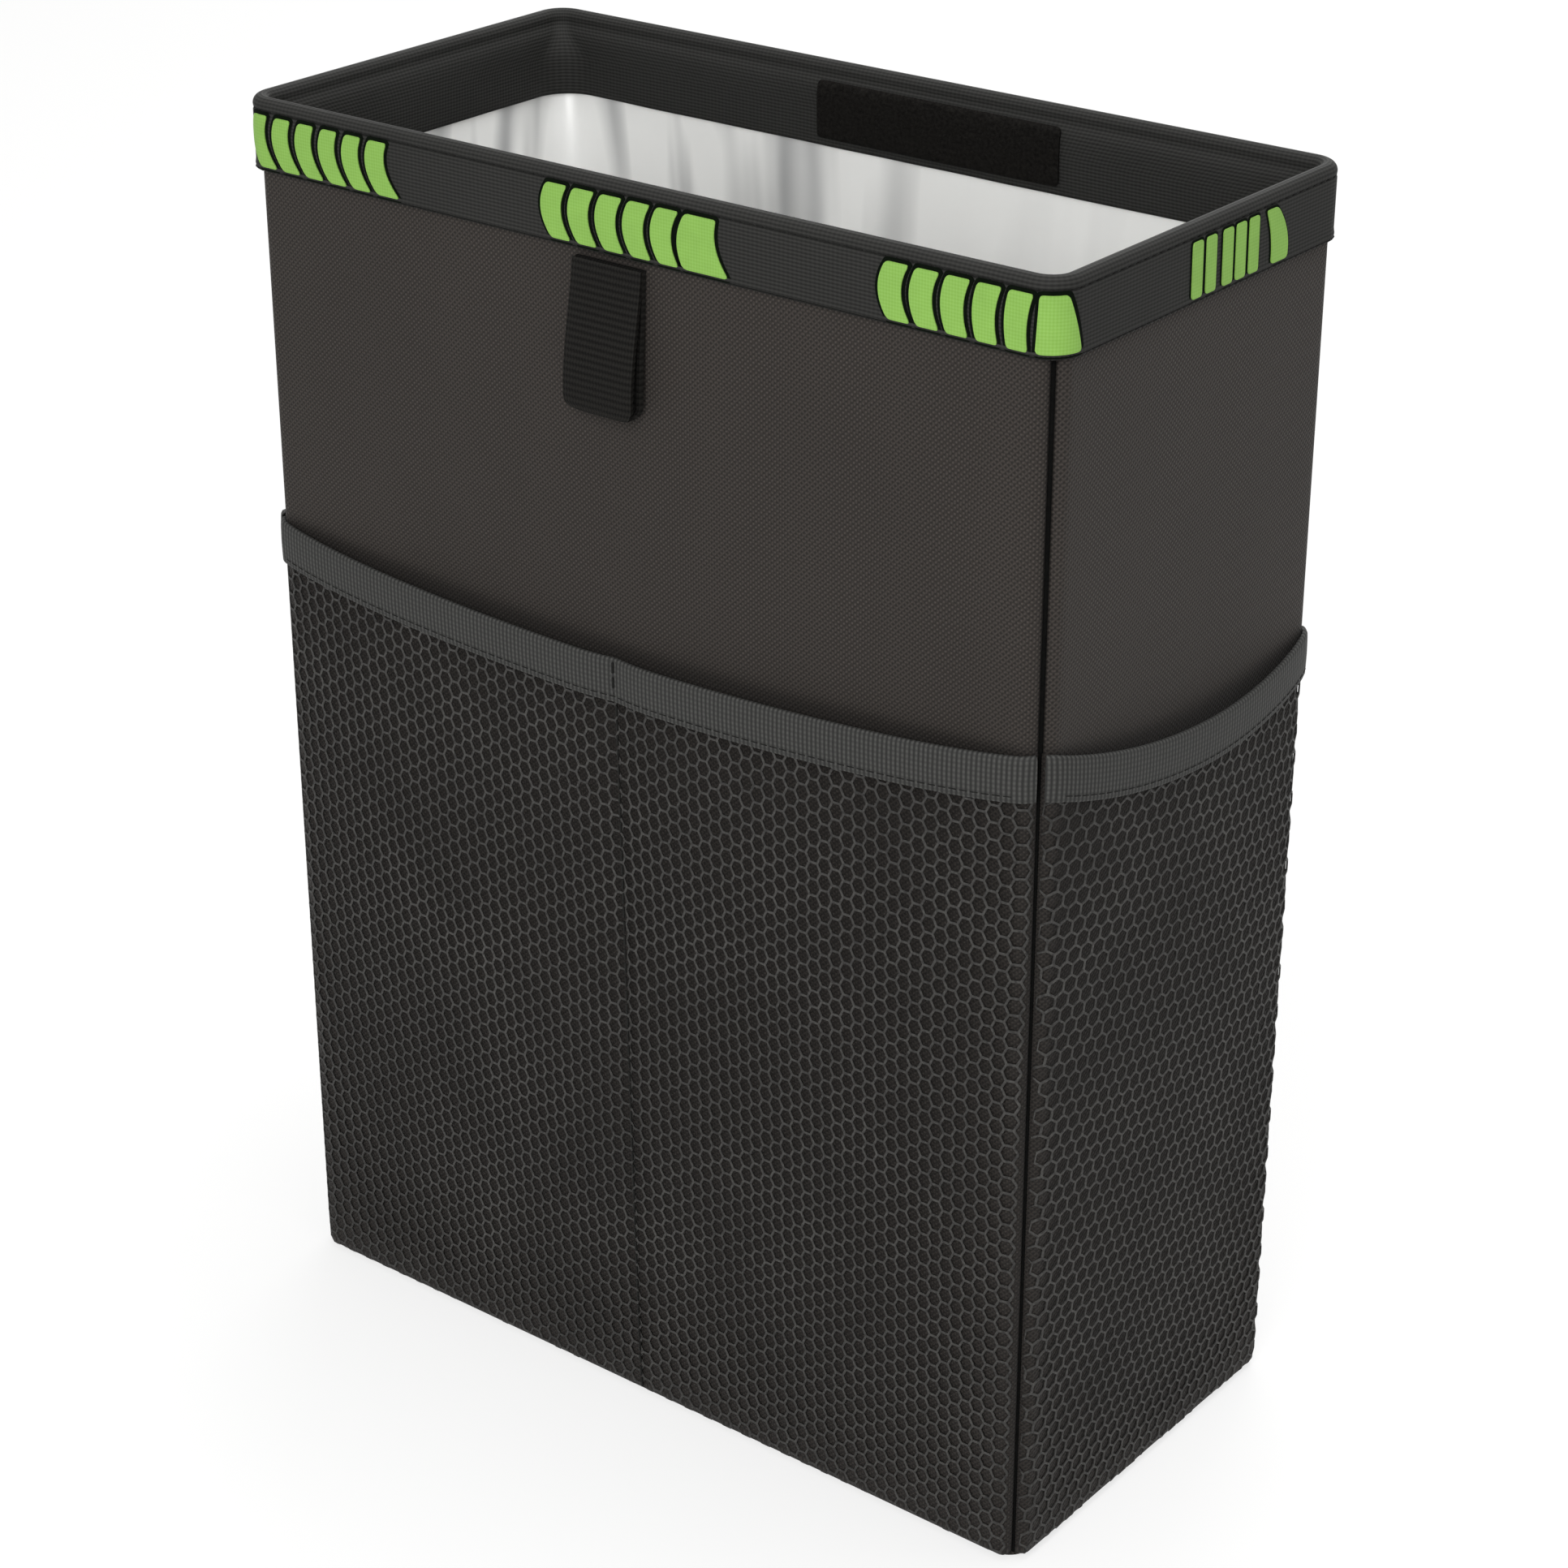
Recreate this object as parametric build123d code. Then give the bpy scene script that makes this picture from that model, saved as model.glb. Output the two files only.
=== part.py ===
from build123d import *
import os
from math import sqrt

# A free-standing car trash bin of stiffened cloth: four sewn walls and a base on boards, a film lining, a wired rim
# band with printed chevrons, a webbing loop and net pockets on three sides. Millimetres. +Z is up, the front faces
# -Y, and the origin is the middle of the underside.

# Overall, over the wall cloth and up to the top of the rim
width = 244.0
depth = 118.0
height = 336.0

# Layers of a wall, from the outside in
cloth = 0.9
board = 1.6
film = 0.5
lay = 0.1
film_room = 0.3

# Corner seams: each panel's edge rolls in and lies against its neighbour's on the corner's diagonal
edge_roll = 2.5
seam_allowance = 2.0
board_end_room = 0.4
board_corner = 3.0
base_corner = 6.0
base_edge = 0.5

# Lining
lining_corner = 12.0
fold_depth = 3.0
fold_pitch = 44.0
fold_run = 60.0

# Rim band and its wire
band_cloth = 1.0
band_height = 18.0
facing_height = 22.0
rim_corner = 8.1
roll_radius = 2.2
wire_size = 2.4
wire_room = 0.3
stitch_drop = 3.0
stitch_width = 0.6
stitch_depth = 0.35

# Chevrons printed on the band
print_depth = 0.25
print_drop = 3.9
tile_height = 13.2
tile_width = 6.6
tile_gap = 1.6
tile_slant = 1.4
tile_bow = 2.2
tiles_in_group = 6
end_tile_width = 8.6
corner_tile_width = 11.5
bar_width = 4.8
bar_gap = 1.4
bar_slant = 0.5
first_group_room = 1.5
last_group_room = 45.0
side_group_start = 9.0

# Hook-and-loop patch on the facing at the back
patch_length = 75.0
patch_height = 15.0
patch_thickness = 1.0
patch_drop = 4.6
patch_shift = 8.0
patch_corner = 1.0

# Webbing loop on the front
loop_width = 21.0
loop_length = 36.5
loop_depth = 5.0
loop_lift = 1.4
loop_root = 7.0
loop_ply = 1.2
loop_drop = 2.0
loop_shift = 2.5

# Net pockets and their bindings
net = 0.6
net_foot = 3.0
net_top = 224.0
net_end_room = 4.6
net_bow = 7.0
pinch = 1.2
tape = 0.5
binding_height = 11.5
front_sag = 6.0
side_sag = 7.0
side_fall = 6.0
cell_across = 19.4
strand = 2.6
net_border = 8.0

# Places that follow from the sizes above
board_face = cloth + lay
board_back = board_face + board
lining_face = board_back + film_room
lining_back = lining_face + film
facing_face = lining_back + lay
facing_back = facing_face + band_cloth
band_face = lay + band_cloth
wire_height = height - band_cloth - lay - wire_size / 2
stack_top = wire_height - wire_size / 2 - wire_room
floor_top = cloth + lay + board + lay
roll_centre = edge_roll + sqrt(2) * (edge_roll + lay / 2)
front_group_start = width / 2 - first_group_room
front_group_pitch = (width - first_group_room - last_group_room) / 2
band_low = height - band_height
facing_low = height - facing_height

# Each wall: its length, how far its face stands from the middle, and its quarter turn from the front
walls = {"front": (width, depth / 2, 0), "right": (depth, width / 2, 1), "back": (width, depth / 2, 2),
         "left": (depth, width / 2, 3)}


def mouth(inset, corner):
    """The plan outline of the bin, moved in by inset from the wall cloth's face."""
    return RectangleRounded(width - 2 * inset, depth - 2 * inset, corner)


def ring(outer_inset, outer_corner, inner_inset, inner_corner, low, high):
    """A wall of constant plan between two outlines, from one height to another."""
    plan = mouth(outer_inset, outer_corner) - mouth(inner_inset, inner_corner)
    return Pos(0, 0, low) * extrude(plan, high - low)


def turned(solid, quarter):
    """A piece made for the front wall, turned to face another wall."""
    return Rot(0, 0, 90 * quarter) * solid


def wall_panel(span, reach):
    """One wall's cloth: a flat face whose two edges roll in and end in a seam allowance on the diagonal."""
    centre_x = span / 2 - roll_centre
    centre_y = -reach + edge_roll
    inner_roll = edge_roll - cloth
    bent = sqrt(0.5)
    step = seam_allowance * bent
    edges = [
        Line((-centre_x, -reach), (centre_x, -reach)),
        Line((-centre_x, -reach + cloth), (centre_x, -reach + cloth)),
    ]
    for side in (1, -1):
        outer_end = (side * (centre_x + edge_roll * bent), centre_y + edge_roll * bent)
        inner_end = (side * (centre_x + inner_roll * bent), centre_y + inner_roll * bent)
        outer_tip = (outer_end[0] - side * step, outer_end[1] + step)
        inner_tip = (inner_end[0] - side * step, inner_end[1] + step)
        edges.append(CenterArc((side * centre_x, centre_y), edge_roll, -90, side * 135))
        edges.append(CenterArc((side * centre_x, centre_y), inner_roll, -90, side * 135))
        edges += [Line(outer_end, outer_tip), Line(outer_tip, inner_tip), Line(inner_tip, inner_end)]
    plan = make_face(edges)
    low = cloth + lay
    return Pos(0, 0, low) * extrude(plan, stack_top - low)


def wall_board(span, reach):
    """The flat board behind one wall's cloth, its four corners eased."""
    length = span - 2 * (roll_centre + board_end_room)
    low = cloth + lay
    rise = stack_top - low
    plate = Plane.XZ * RectangleRounded(length, rise, board_corner)
    sheet = extrude(plate, board)
    return Pos(0, -reach + board_back, low + rise / 2) * sheet


def base_panel():
    """The cloth under the base, its lower edge eased."""
    plate = extrude(RectangleRounded(width, depth, base_corner), cloth)
    return chamfer(plate.faces().sort_by(Axis.Z)[0].edges(), base_edge)


def base_board():
    """The board on the base cloth, between the wall boards."""
    inset = board_back + lay
    plate = extrude(mouth(inset, lining_corner), board)
    return Pos(0, 0, cloth + lay) * plate


def folded_outline(inset, corner, depth_of_folds):
    """The lining's plan outline: straight runs with soft folds drawn inward, and round corners."""
    half_x = width / 2 - inset
    half_y = depth / 2 - inset
    edges = []
    sides = [(half_x - corner, half_y, 0), (half_y - corner, half_x, 90), (half_x - corner, half_y, 180),
             (half_y - corner, half_x, 270)]
    for reach, out, turn in sides:
        folds = max(1, round(2 * reach / fold_pitch))
        wide = 2 * reach / folds
        for k in range(folds):
            left = (-reach + k * wide, -out)
            right = (-reach + (k + 1) * wide, -out)
            crest = (-reach + (k + 0.5) * wide, -out + depth_of_folds)
            run = ThreePointArc(left, crest, right) if depth_of_folds else Line(left, right)
            edges.append(Rot(0, 0, turn) * run)
        bend = CenterArc((reach, -out + corner), corner, -90, 90)
        edges.append(Rot(0, 0, turn) * bend)
    return make_face(edges)


def bag_core(inset, corner, low):
    """A solid of the lining's outline: plain behind the facing, then running into folds below it."""
    fold_start = facing_low - fold_run
    plain = Pos(0, 0, facing_low) * folded_outline(inset, corner, 0)
    folded = Pos(0, 0, fold_start) * folded_outline(inset, corner, fold_depth)
    upper = extrude(plain, stack_top - facing_low)
    middle = loft([folded, plain], ruled=True)
    lower = extrude(folded, -(fold_start - low))
    return upper + middle + lower


def lining():
    """The silver film bag."""
    outside = bag_core(lining_face, lining_corner, floor_top)
    inside = bag_core(lining_back, lining_corner - film, floor_top + film)
    return outside - inside


def rim_band():
    """The band folded over the rim: an outer leg, a round fold with room for the wire, and an inner facing."""
    facing_corner = lining_corner - film - lay - band_cloth
    body = ring(-band_face, rim_corner, facing_back, facing_corner, facing_low, height)
    body = fillet(body.faces().sort_by(Axis.Z)[-1].outer_wire().edges(), roll_radius)
    inner_fold = (band_face + facing_back - roll_radius) * 0.97
    body = fillet(body.faces().sort_by(Axis.Z)[-1].inner_wires()[0].edges(), inner_fold)
    slot_corner = rim_corner - band_cloth
    slot = ring(-lay, slot_corner, facing_face, facing_corner + band_cloth, facing_low - 1, height - band_cloth)
    slot = chamfer(slot.faces().sort_by(Axis.Z)[-1].edges(), band_cloth)
    below = ring(-band_face - 1, rim_corner + 1, board_face, slot_corner, facing_low - 1, band_low)
    groove_top = height - stitch_drop
    groove_back = band_face - stitch_depth
    groove = ring(-band_face - 1, rim_corner + 1, -groove_back, rim_corner - stitch_depth,
                  groove_top - stitch_width, groove_top)
    return body - slot - below - groove


def rim_wire():
    """The wire that holds the mouth open, lying in the band's fold."""
    inset = (facing_face - lay) / 2
    corner = rim_corner - band_cloth - lay - inset
    section = Circle(wire_size / 2)
    bend = revolve(Plane.XZ * (Pos(corner, 0) * section), Axis.Z, 90)
    pieces = []
    for span, reach, quarter in walls.values():
        run = span / 2 - inset - corner
        out = reach - inset
        straight = Pos(0, -out, 0) * extrude(Plane.YZ * section, run, both=True)
        turn = Pos(run, corner - out, 0) * (Rot(0, 0, -90) * bend)
        pieces.append(turned(straight + turn, quarter))
    return Pos(0, 0, wire_height) * (pieces[0] + pieces[1:])


def loop_patch():
    """The hook-and-loop patch on the facing at the back."""
    plate = Plane.XZ * RectangleRounded(patch_length, patch_height, patch_corner)
    sheet = extrude(plate, patch_thickness)
    return Pos(patch_shift, depth / 2 - facing_back, height - patch_drop - patch_height / 2) * sheet


def front_loop():
    """A strip of webbing folded into a loop: sewn down flat at its root, its round fold standing off the wall."""
    root_z = band_low - loop_drop
    bend = loop_depth / 2
    bend_z = -loop_length + bend
    tip = (2 * loop_ply, 0)
    outline = [
        Line((0, 0), tip),
        Line(tip, (loop_lift + loop_depth, bend_z)),
        CenterArc((loop_lift + bend, bend_z), bend, 180, 180),
        Line((loop_lift, bend_z), (0, 0)),
    ]
    inner_bend = bend - loop_ply
    throat = (loop_ply + loop_lift * loop_root / loop_length, -loop_root)
    hollow = [
        Line(throat, (loop_lift + bend + inner_bend, bend_z)),
        CenterArc((loop_lift + bend, bend_z), inner_bend, 180, 180),
        Line((loop_lift + bend - inner_bend, bend_z), throat),
    ]
    profile = make_face(outline) - make_face(hollow)
    side_view = Plane(origin=(0, 0, 0), x_dir=(0, -1, 0), z_dir=(-1, 0, 0))
    strip = extrude(side_view * profile, loop_width / 2, both=True)
    return Pos(-loop_shift, -depth / 2 - lay, root_z) * strip


def tile(start, wide, slant, left_bow, right_bow):
    """One chevron, drawn with its top left corner at start: its upright edges bow, its foot is set over by slant."""
    top_left = (start, tile_height / 2)
    top_right = (start + wide, tile_height / 2)
    low_right = (start + wide + slant, -tile_height / 2)
    low_left = (start + slant, -tile_height / 2)
    edges = [Line(top_left, top_right), Line(low_right, low_left)]
    for top, low, bow in [(top_left, low_left, left_bow), (top_right, low_right, right_bow)]:
        if bow == 0:
            edges.append(Line(top, low))
        else:
            middle = ((top[0] + low[0]) / 2 + bow, 0)
            edges.append(ThreePointArc(top, middle, low))
    return make_face(edges)


def curved_group(start, last_width):
    """A row of bowed tiles, the last one wider with a straight end."""
    step = tile_width + tile_gap
    tiles = []
    for k in range(tiles_in_group - 1):
        tiles.append(tile(start + k * step, tile_width, tile_slant, -tile_bow, -tile_bow))
    tiles.append(tile(start + (tiles_in_group - 1) * step, last_width, tile_slant, -tile_bow, 0))
    return tiles


def barred_group(start):
    """A row of plain slanted bars that ends in one tile bowed the other way."""
    step = bar_width + bar_gap
    tiles = []
    for k in range(tiles_in_group - 1):
        tiles.append(tile(start + k * step, bar_width, bar_slant, 0, 0))
    tiles.append(tile(start + (tiles_in_group - 1) * step, end_tile_width - tile_slant, bar_slant, 0, tile_slant))
    return tiles


def printed(tiles, reach):
    """Tiles laid on the band: cut from a thin skin on its face, so they follow its round corners."""
    middle = height - print_drop - tile_height / 2
    skin = ring(-band_face - print_depth, rim_corner + print_depth, -band_face, rim_corner,
                middle - tile_height, middle + tile_height)
    cutters = []
    for flat in tiles:
        front_view = Pos(0, -reach - band_face - 2 * print_depth, middle) * (Plane.XZ * flat)
        cutters.append(extrude(front_view, -(rim_corner + 2 * print_depth)))
    return skin, cutters


def print_group(tiles, reach, quarter):
    """One group of chevrons on one wall of the band."""
    skin, cutters = printed(tiles, reach)
    pieces = []
    for cutter in cutters:
        pieces += (skin & turned(cutter, quarter)).solids()
    return Compound(children=pieces)


def sag_line(span, drop, fall):
    """The slack top edge of a pocket, seen square on: it dips in the middle and ends lower by fall."""
    end = span / 2 - net_end_room
    return ThreePointArc((-end, net_top), (0, net_top - fall / 2 - drop), (end, net_top - fall))


def sag_cut(span, drop, fall, low, high):
    """All that lies between two copies of the slack edge, one moved down by low and one moved up by high."""
    line = sag_line(span, drop, fall)
    upper = Pos(0, high) * line
    lower = Pos(0, -low) * line
    sides = [Line(upper @ 0, lower @ 0), Line(upper @ 1, lower @ 1)]
    face = make_face([upper, lower] + sides)
    return extrude(Plane.XZ * face, width, both=True)


def bowed_sheet(span, reach, bays, inner, outer):
    """A net's sheet: straight along the foot of the wall, bowed out at the top in one bay or two."""
    end = span / 2 - net_end_room
    stand = tape + 3 * lay
    tops = []
    for move in (inner, outer):
        points = [(-end, -reach - stand - move)]
        for bay in range(bays):
            middle = -end + (bay + 0.5) * 2 * end / bays
            points.append((middle, -reach - stand - net_bow - move))
            after = -end + (bay + 1) * 2 * end / bays
            points.append((after, -reach - stand - move - (pinch if bay < bays - 1 else 0)))
        tops.append(Spline(points))
    sides = [Line(tops[0] @ 0, tops[1] @ 0), Line(tops[0] @ 1, tops[1] @ 1)]
    top = Pos(0, 0, net_top) * make_face(tops + sides)
    foot_face = -reach - lay
    foot = Pos(0, foot_face - (inner + outer) / 2, net_foot) * Rectangle(2 * end, outer - inner)
    return loft([foot, top], ruled=True)


def cells(span, drop, fall, bays):
    """The net's openings: hexagons in staggered rows, clear of its border and of the seam between two bays."""
    end = span / 2 - net_end_room - net_border
    pitch = cell_across + strand
    row_rise = pitch * sqrt(3) / 2
    low = net_foot + net_border + cell_across / 2
    high = net_top - drop - fall - binding_height - net_border / 2 - cell_across / 2
    rows = int((high - low) / row_rise) + 1
    hexagon = RegularPolygon(cell_across / 2, 6, major_radius=False, rotation=90)
    tools = []
    for row in range(rows):
        for bay in range(bays):
            bay_low = -end + bay * 2 * end / bays
            bay_high = bay_low + 2 * end / bays
            columns = int((bay_high - bay_low - pitch / 2) / pitch)
            slack = (bay_high - bay_low) - (columns + 0.5) * pitch
            for column in range(columns):
                x = bay_low + slack / 2 + (column + 0.5 + 0.5 * (row % 2)) * pitch
                z = low + row * row_rise
                tools.append((x, z))
    return [extrude(Pos(x, 0, z) * (Plane.XZ * hexagon), 2 * width) for x, z in tools]


def pocket(span, reach, bays, drop, fall):
    """A net with its openings, and the folded binding on its slack top edge."""
    sheet = bowed_sheet(span, reach, bays, 0, net) & sag_cut(span, drop, fall, net_top, 0)
    fold = bowed_sheet(span, reach, bays, -lay, net + lay) & sag_cut(span, drop, fall, net_top, lay)
    tape_block = bowed_sheet(span, reach, bays, -lay - tape, net + lay + tape)
    binding = (tape_block & sag_cut(span, drop, fall, binding_height, lay + tape)) - fold
    holed = sheet - cells(span, drop, fall, bays)
    return holed, binding


parts = {}
parts["base_panel"] = base_panel()
parts["base_board"] = base_board()
for name, (span, reach, quarter) in walls.items():
    parts[name + "_panel"] = turned(wall_panel(span, reach), quarter)
    parts[name + "_board"] = turned(wall_board(span, reach), quarter)
parts["lining"] = lining()
parts["rim_band"] = rim_band()
parts["rim_wire"] = rim_wire()
parts["loop_patch"] = loop_patch()
parts["front_loop"] = front_loop()

front_net, front_binding = pocket(width, depth / 2, 2, front_sag, 0)
parts["front_net"] = front_net
parts["front_binding"] = front_binding
side_net, side_binding = pocket(depth, width / 2, 1, side_sag, side_fall)
parts["right_net"] = turned(side_net, 1)
parts["right_binding"] = turned(side_binding, 1)
parts["left_net"] = mirror(parts["right_net"], about=Plane.YZ)
parts["left_binding"] = mirror(parts["right_binding"], about=Plane.YZ)

for name, quarter in [("front", 0), ("back", 2)]:
    for place, group in [("left", 0), ("middle", 1), ("right", 2)]:
        start = -front_group_start + group * front_group_pitch
        last = corner_tile_width if place == "right" else end_tile_width
        parts["chevrons_" + name + "_" + place] = print_group(curved_group(start, last), depth / 2, quarter)
for name, quarter in [("right", 1), ("left", 3)]:
    parts["chevrons_" + name] = print_group(barred_group(-side_group_start), width / 2, quarter)

os.makedirs("parts", exist_ok=True)
for name, piece in parts.items():
    export_step(piece, "parts/" + name + ".step")
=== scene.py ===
# %% [markdown]
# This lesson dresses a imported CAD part: a car trash bin sewn from stiffened cloth, with a silver
# film lining, a printed rim band, a webbing loop and net pockets on three sides. The CAD gives
# every size and place. Blender gives the cloth its softness and each surface its finish.

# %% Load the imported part
from math import ceil, cos, hypot, pi, radians, sin, sqrt
import bpy
from mathutils import Matrix, Vector, noise


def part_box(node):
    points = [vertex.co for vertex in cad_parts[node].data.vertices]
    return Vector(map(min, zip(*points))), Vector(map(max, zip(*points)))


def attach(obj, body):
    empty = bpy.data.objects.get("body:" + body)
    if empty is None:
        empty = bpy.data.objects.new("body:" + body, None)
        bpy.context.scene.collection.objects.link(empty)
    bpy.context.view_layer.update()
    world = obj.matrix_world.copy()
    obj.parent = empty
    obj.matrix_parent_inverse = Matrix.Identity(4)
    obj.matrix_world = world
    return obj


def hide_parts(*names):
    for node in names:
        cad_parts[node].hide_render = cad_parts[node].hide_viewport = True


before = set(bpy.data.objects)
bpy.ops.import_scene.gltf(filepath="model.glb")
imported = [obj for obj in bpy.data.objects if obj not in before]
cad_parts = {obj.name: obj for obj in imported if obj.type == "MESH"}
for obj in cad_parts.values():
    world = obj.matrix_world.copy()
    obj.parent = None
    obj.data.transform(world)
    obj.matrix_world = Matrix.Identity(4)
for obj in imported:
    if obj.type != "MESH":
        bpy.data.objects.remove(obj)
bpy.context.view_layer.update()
mm = 0.001

# %% [markdown]
# The camera stands where the photograph was taken: to the right of the bin's front and above it. A
# camera can be placed by numbers, but an aim point, two angles and a distance are easier to read
# and to change. The long lens keeps the upright edges nearly parallel, as in the photograph.

# %% Camera
aim = Vector((1.06, 0.88, 159.9)) * mm
azimuth = radians(38.12)
elevation = radians(25.67)
distance = 946.7 * mm
back = Vector((sin(azimuth) * cos(elevation), -cos(azimuth) * cos(elevation), sin(elevation)))
bpy.ops.object.camera_add(location=aim + back * distance)
camera = bpy.context.object
camera.name = "camera"
camera.rotation_euler = (-back).to_track_quat("-Z", "Y").to_euler()
camera.data.sensor_width = 36
camera.data.lens = 82.97
bpy.context.scene.camera = camera
print("camera at", [round(c, 3) for c in camera.location])

# %% [markdown]
# A product picture has soft light from all round. A white world does most of the work here, and
# broad area lamps add a little direction, so that folds and rolled edges show. View transform
# Standard keeps a colour close to the value that is written in its material. The world lights the
# bin at half strength, but rays that look straight at it, or by way of a shiny or clear surface,
# see full white.

# %% World and lamps
scene = bpy.context.scene
scene.view_settings.view_transform = "Standard"
world = bpy.data.worlds.new("studio")
scene.world = world
world.use_nodes = True
sky = world.node_tree.nodes["Background"]
sky.inputs["Color"].default_value = (1, 1, 1, 1)
sky_light = 0.5


def seen_directly(tree):
    """1 for rays from the camera, a shiny surface or a clear one, 0 for rays that only carry light."""
    ray = tree.nodes.new("ShaderNodeLightPath")
    share = ray.outputs["Is Camera Ray"]
    for kind in ("Is Glossy Ray", "Is Transmission Ray"):
        either = tree.nodes.new("ShaderNodeMath")
        either.operation = "MAXIMUM"
        tree.links.new(share, either.inputs[0])
        tree.links.new(ray.outputs[kind], either.inputs[1])
        share = either.outputs[0]
    return share


sky_strength = world.node_tree.nodes.new("ShaderNodeMapRange")
sky_strength.inputs["To Min"].default_value = sky_light
sky_strength.inputs["To Max"].default_value = 1
world.node_tree.links.new(seen_directly(world.node_tree), sky_strength.inputs["Value"])
world.node_tree.links.new(sky_strength.outputs["Result"], sky.inputs["Strength"])


def soft_lamp(name, place, size, power):
    """A square area lamp that looks at the middle of the bin."""
    place = Vector(place)
    bpy.ops.object.light_add(type="AREA", location=place)
    lamp = bpy.context.object
    lamp.name = name
    lamp.rotation_euler = (aim - place).to_track_quat("-Z", "Y").to_euler()
    lamp.data.size = size
    lamp.data.energy = power


soft_lamp("key_lamp", (0.4, -0.95, 0.8), size=0.6, power=8.5)
soft_lamp("side_lamp", (1.9, 0.1, 0.9), size=1.2, power=1)
soft_lamp("top_lamp", (0.1, 0.2, 1.9), size=1.0, power=20)
soft_lamp("rear_lamp", (-0.9, 1.7, 1.2), size=1.2, power=14)

# %% [markdown]
# The floor is a plain pale sheet that only has to carry a faint shadow. Seen by the camera it glows
# a little, which takes it to white without any extra light on the bin. Glossy and transmitted rays
# see the same glow, so that a shiny surface reflects a white studio.

# %% Floor
floor_wide = 30
floor_colour = (0.88, 0.88, 0.87, 1)
glow_share = 0.72
bpy.ops.object.select_all(action="DESELECT")
bpy.ops.mesh.primitive_plane_add(size=floor_wide)
floor = bpy.context.object
floor.name = "floor"
floor_paint = bpy.data.materials.new("pale_floor")
floor_paint.use_nodes = True
tree = floor_paint.node_tree
tree.nodes.remove(tree.nodes["Principled BSDF"])
matt = tree.nodes.new("ShaderNodeBsdfDiffuse")
matt.inputs["Color"].default_value = floor_colour
glow = tree.nodes.new("ShaderNodeEmission")
seen_share = tree.nodes.new("ShaderNodeMath")
seen_share.operation = "MULTIPLY"
seen_share.inputs[1].default_value = glow_share
blend = tree.nodes.new("ShaderNodeMixShader")
tree.links.new(seen_directly(tree), seen_share.inputs[0])
tree.links.new(seen_share.outputs[0], blend.inputs[0])
tree.links.new(matt.outputs[0], blend.inputs[1])
tree.links.new(glow.outputs[0], blend.inputs[2])
tree.links.new(blend.outputs[0], tree.nodes["Material Output"].inputs["Surface"])
floor.data.materials.append(floor_paint)
print("floor is", floor.dimensions.x, "m wide")

# %% [markdown]
# Every finish below is built from a few small helpers. Colours were judged as screen values
# from 0 to 255, so one helper turns those into the linear values that a shader wants. Another
# starts a material, and others add rows of threads, noise and bump. Threads are sine bands: two
# sets that cross give a weave, one set gives ribs.

# %% Helpers for materials
def paint(red, green, blue):
    """A screen colour, 0 to 255, as the shader's linear colour."""
    shares = [value / 255 for value in (red, green, blue)]
    return tuple(s / 12.92 if s <= 0.04045 else ((s + 0.055) / 1.055) ** 2.4 for s in shares) + (1,)


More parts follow.
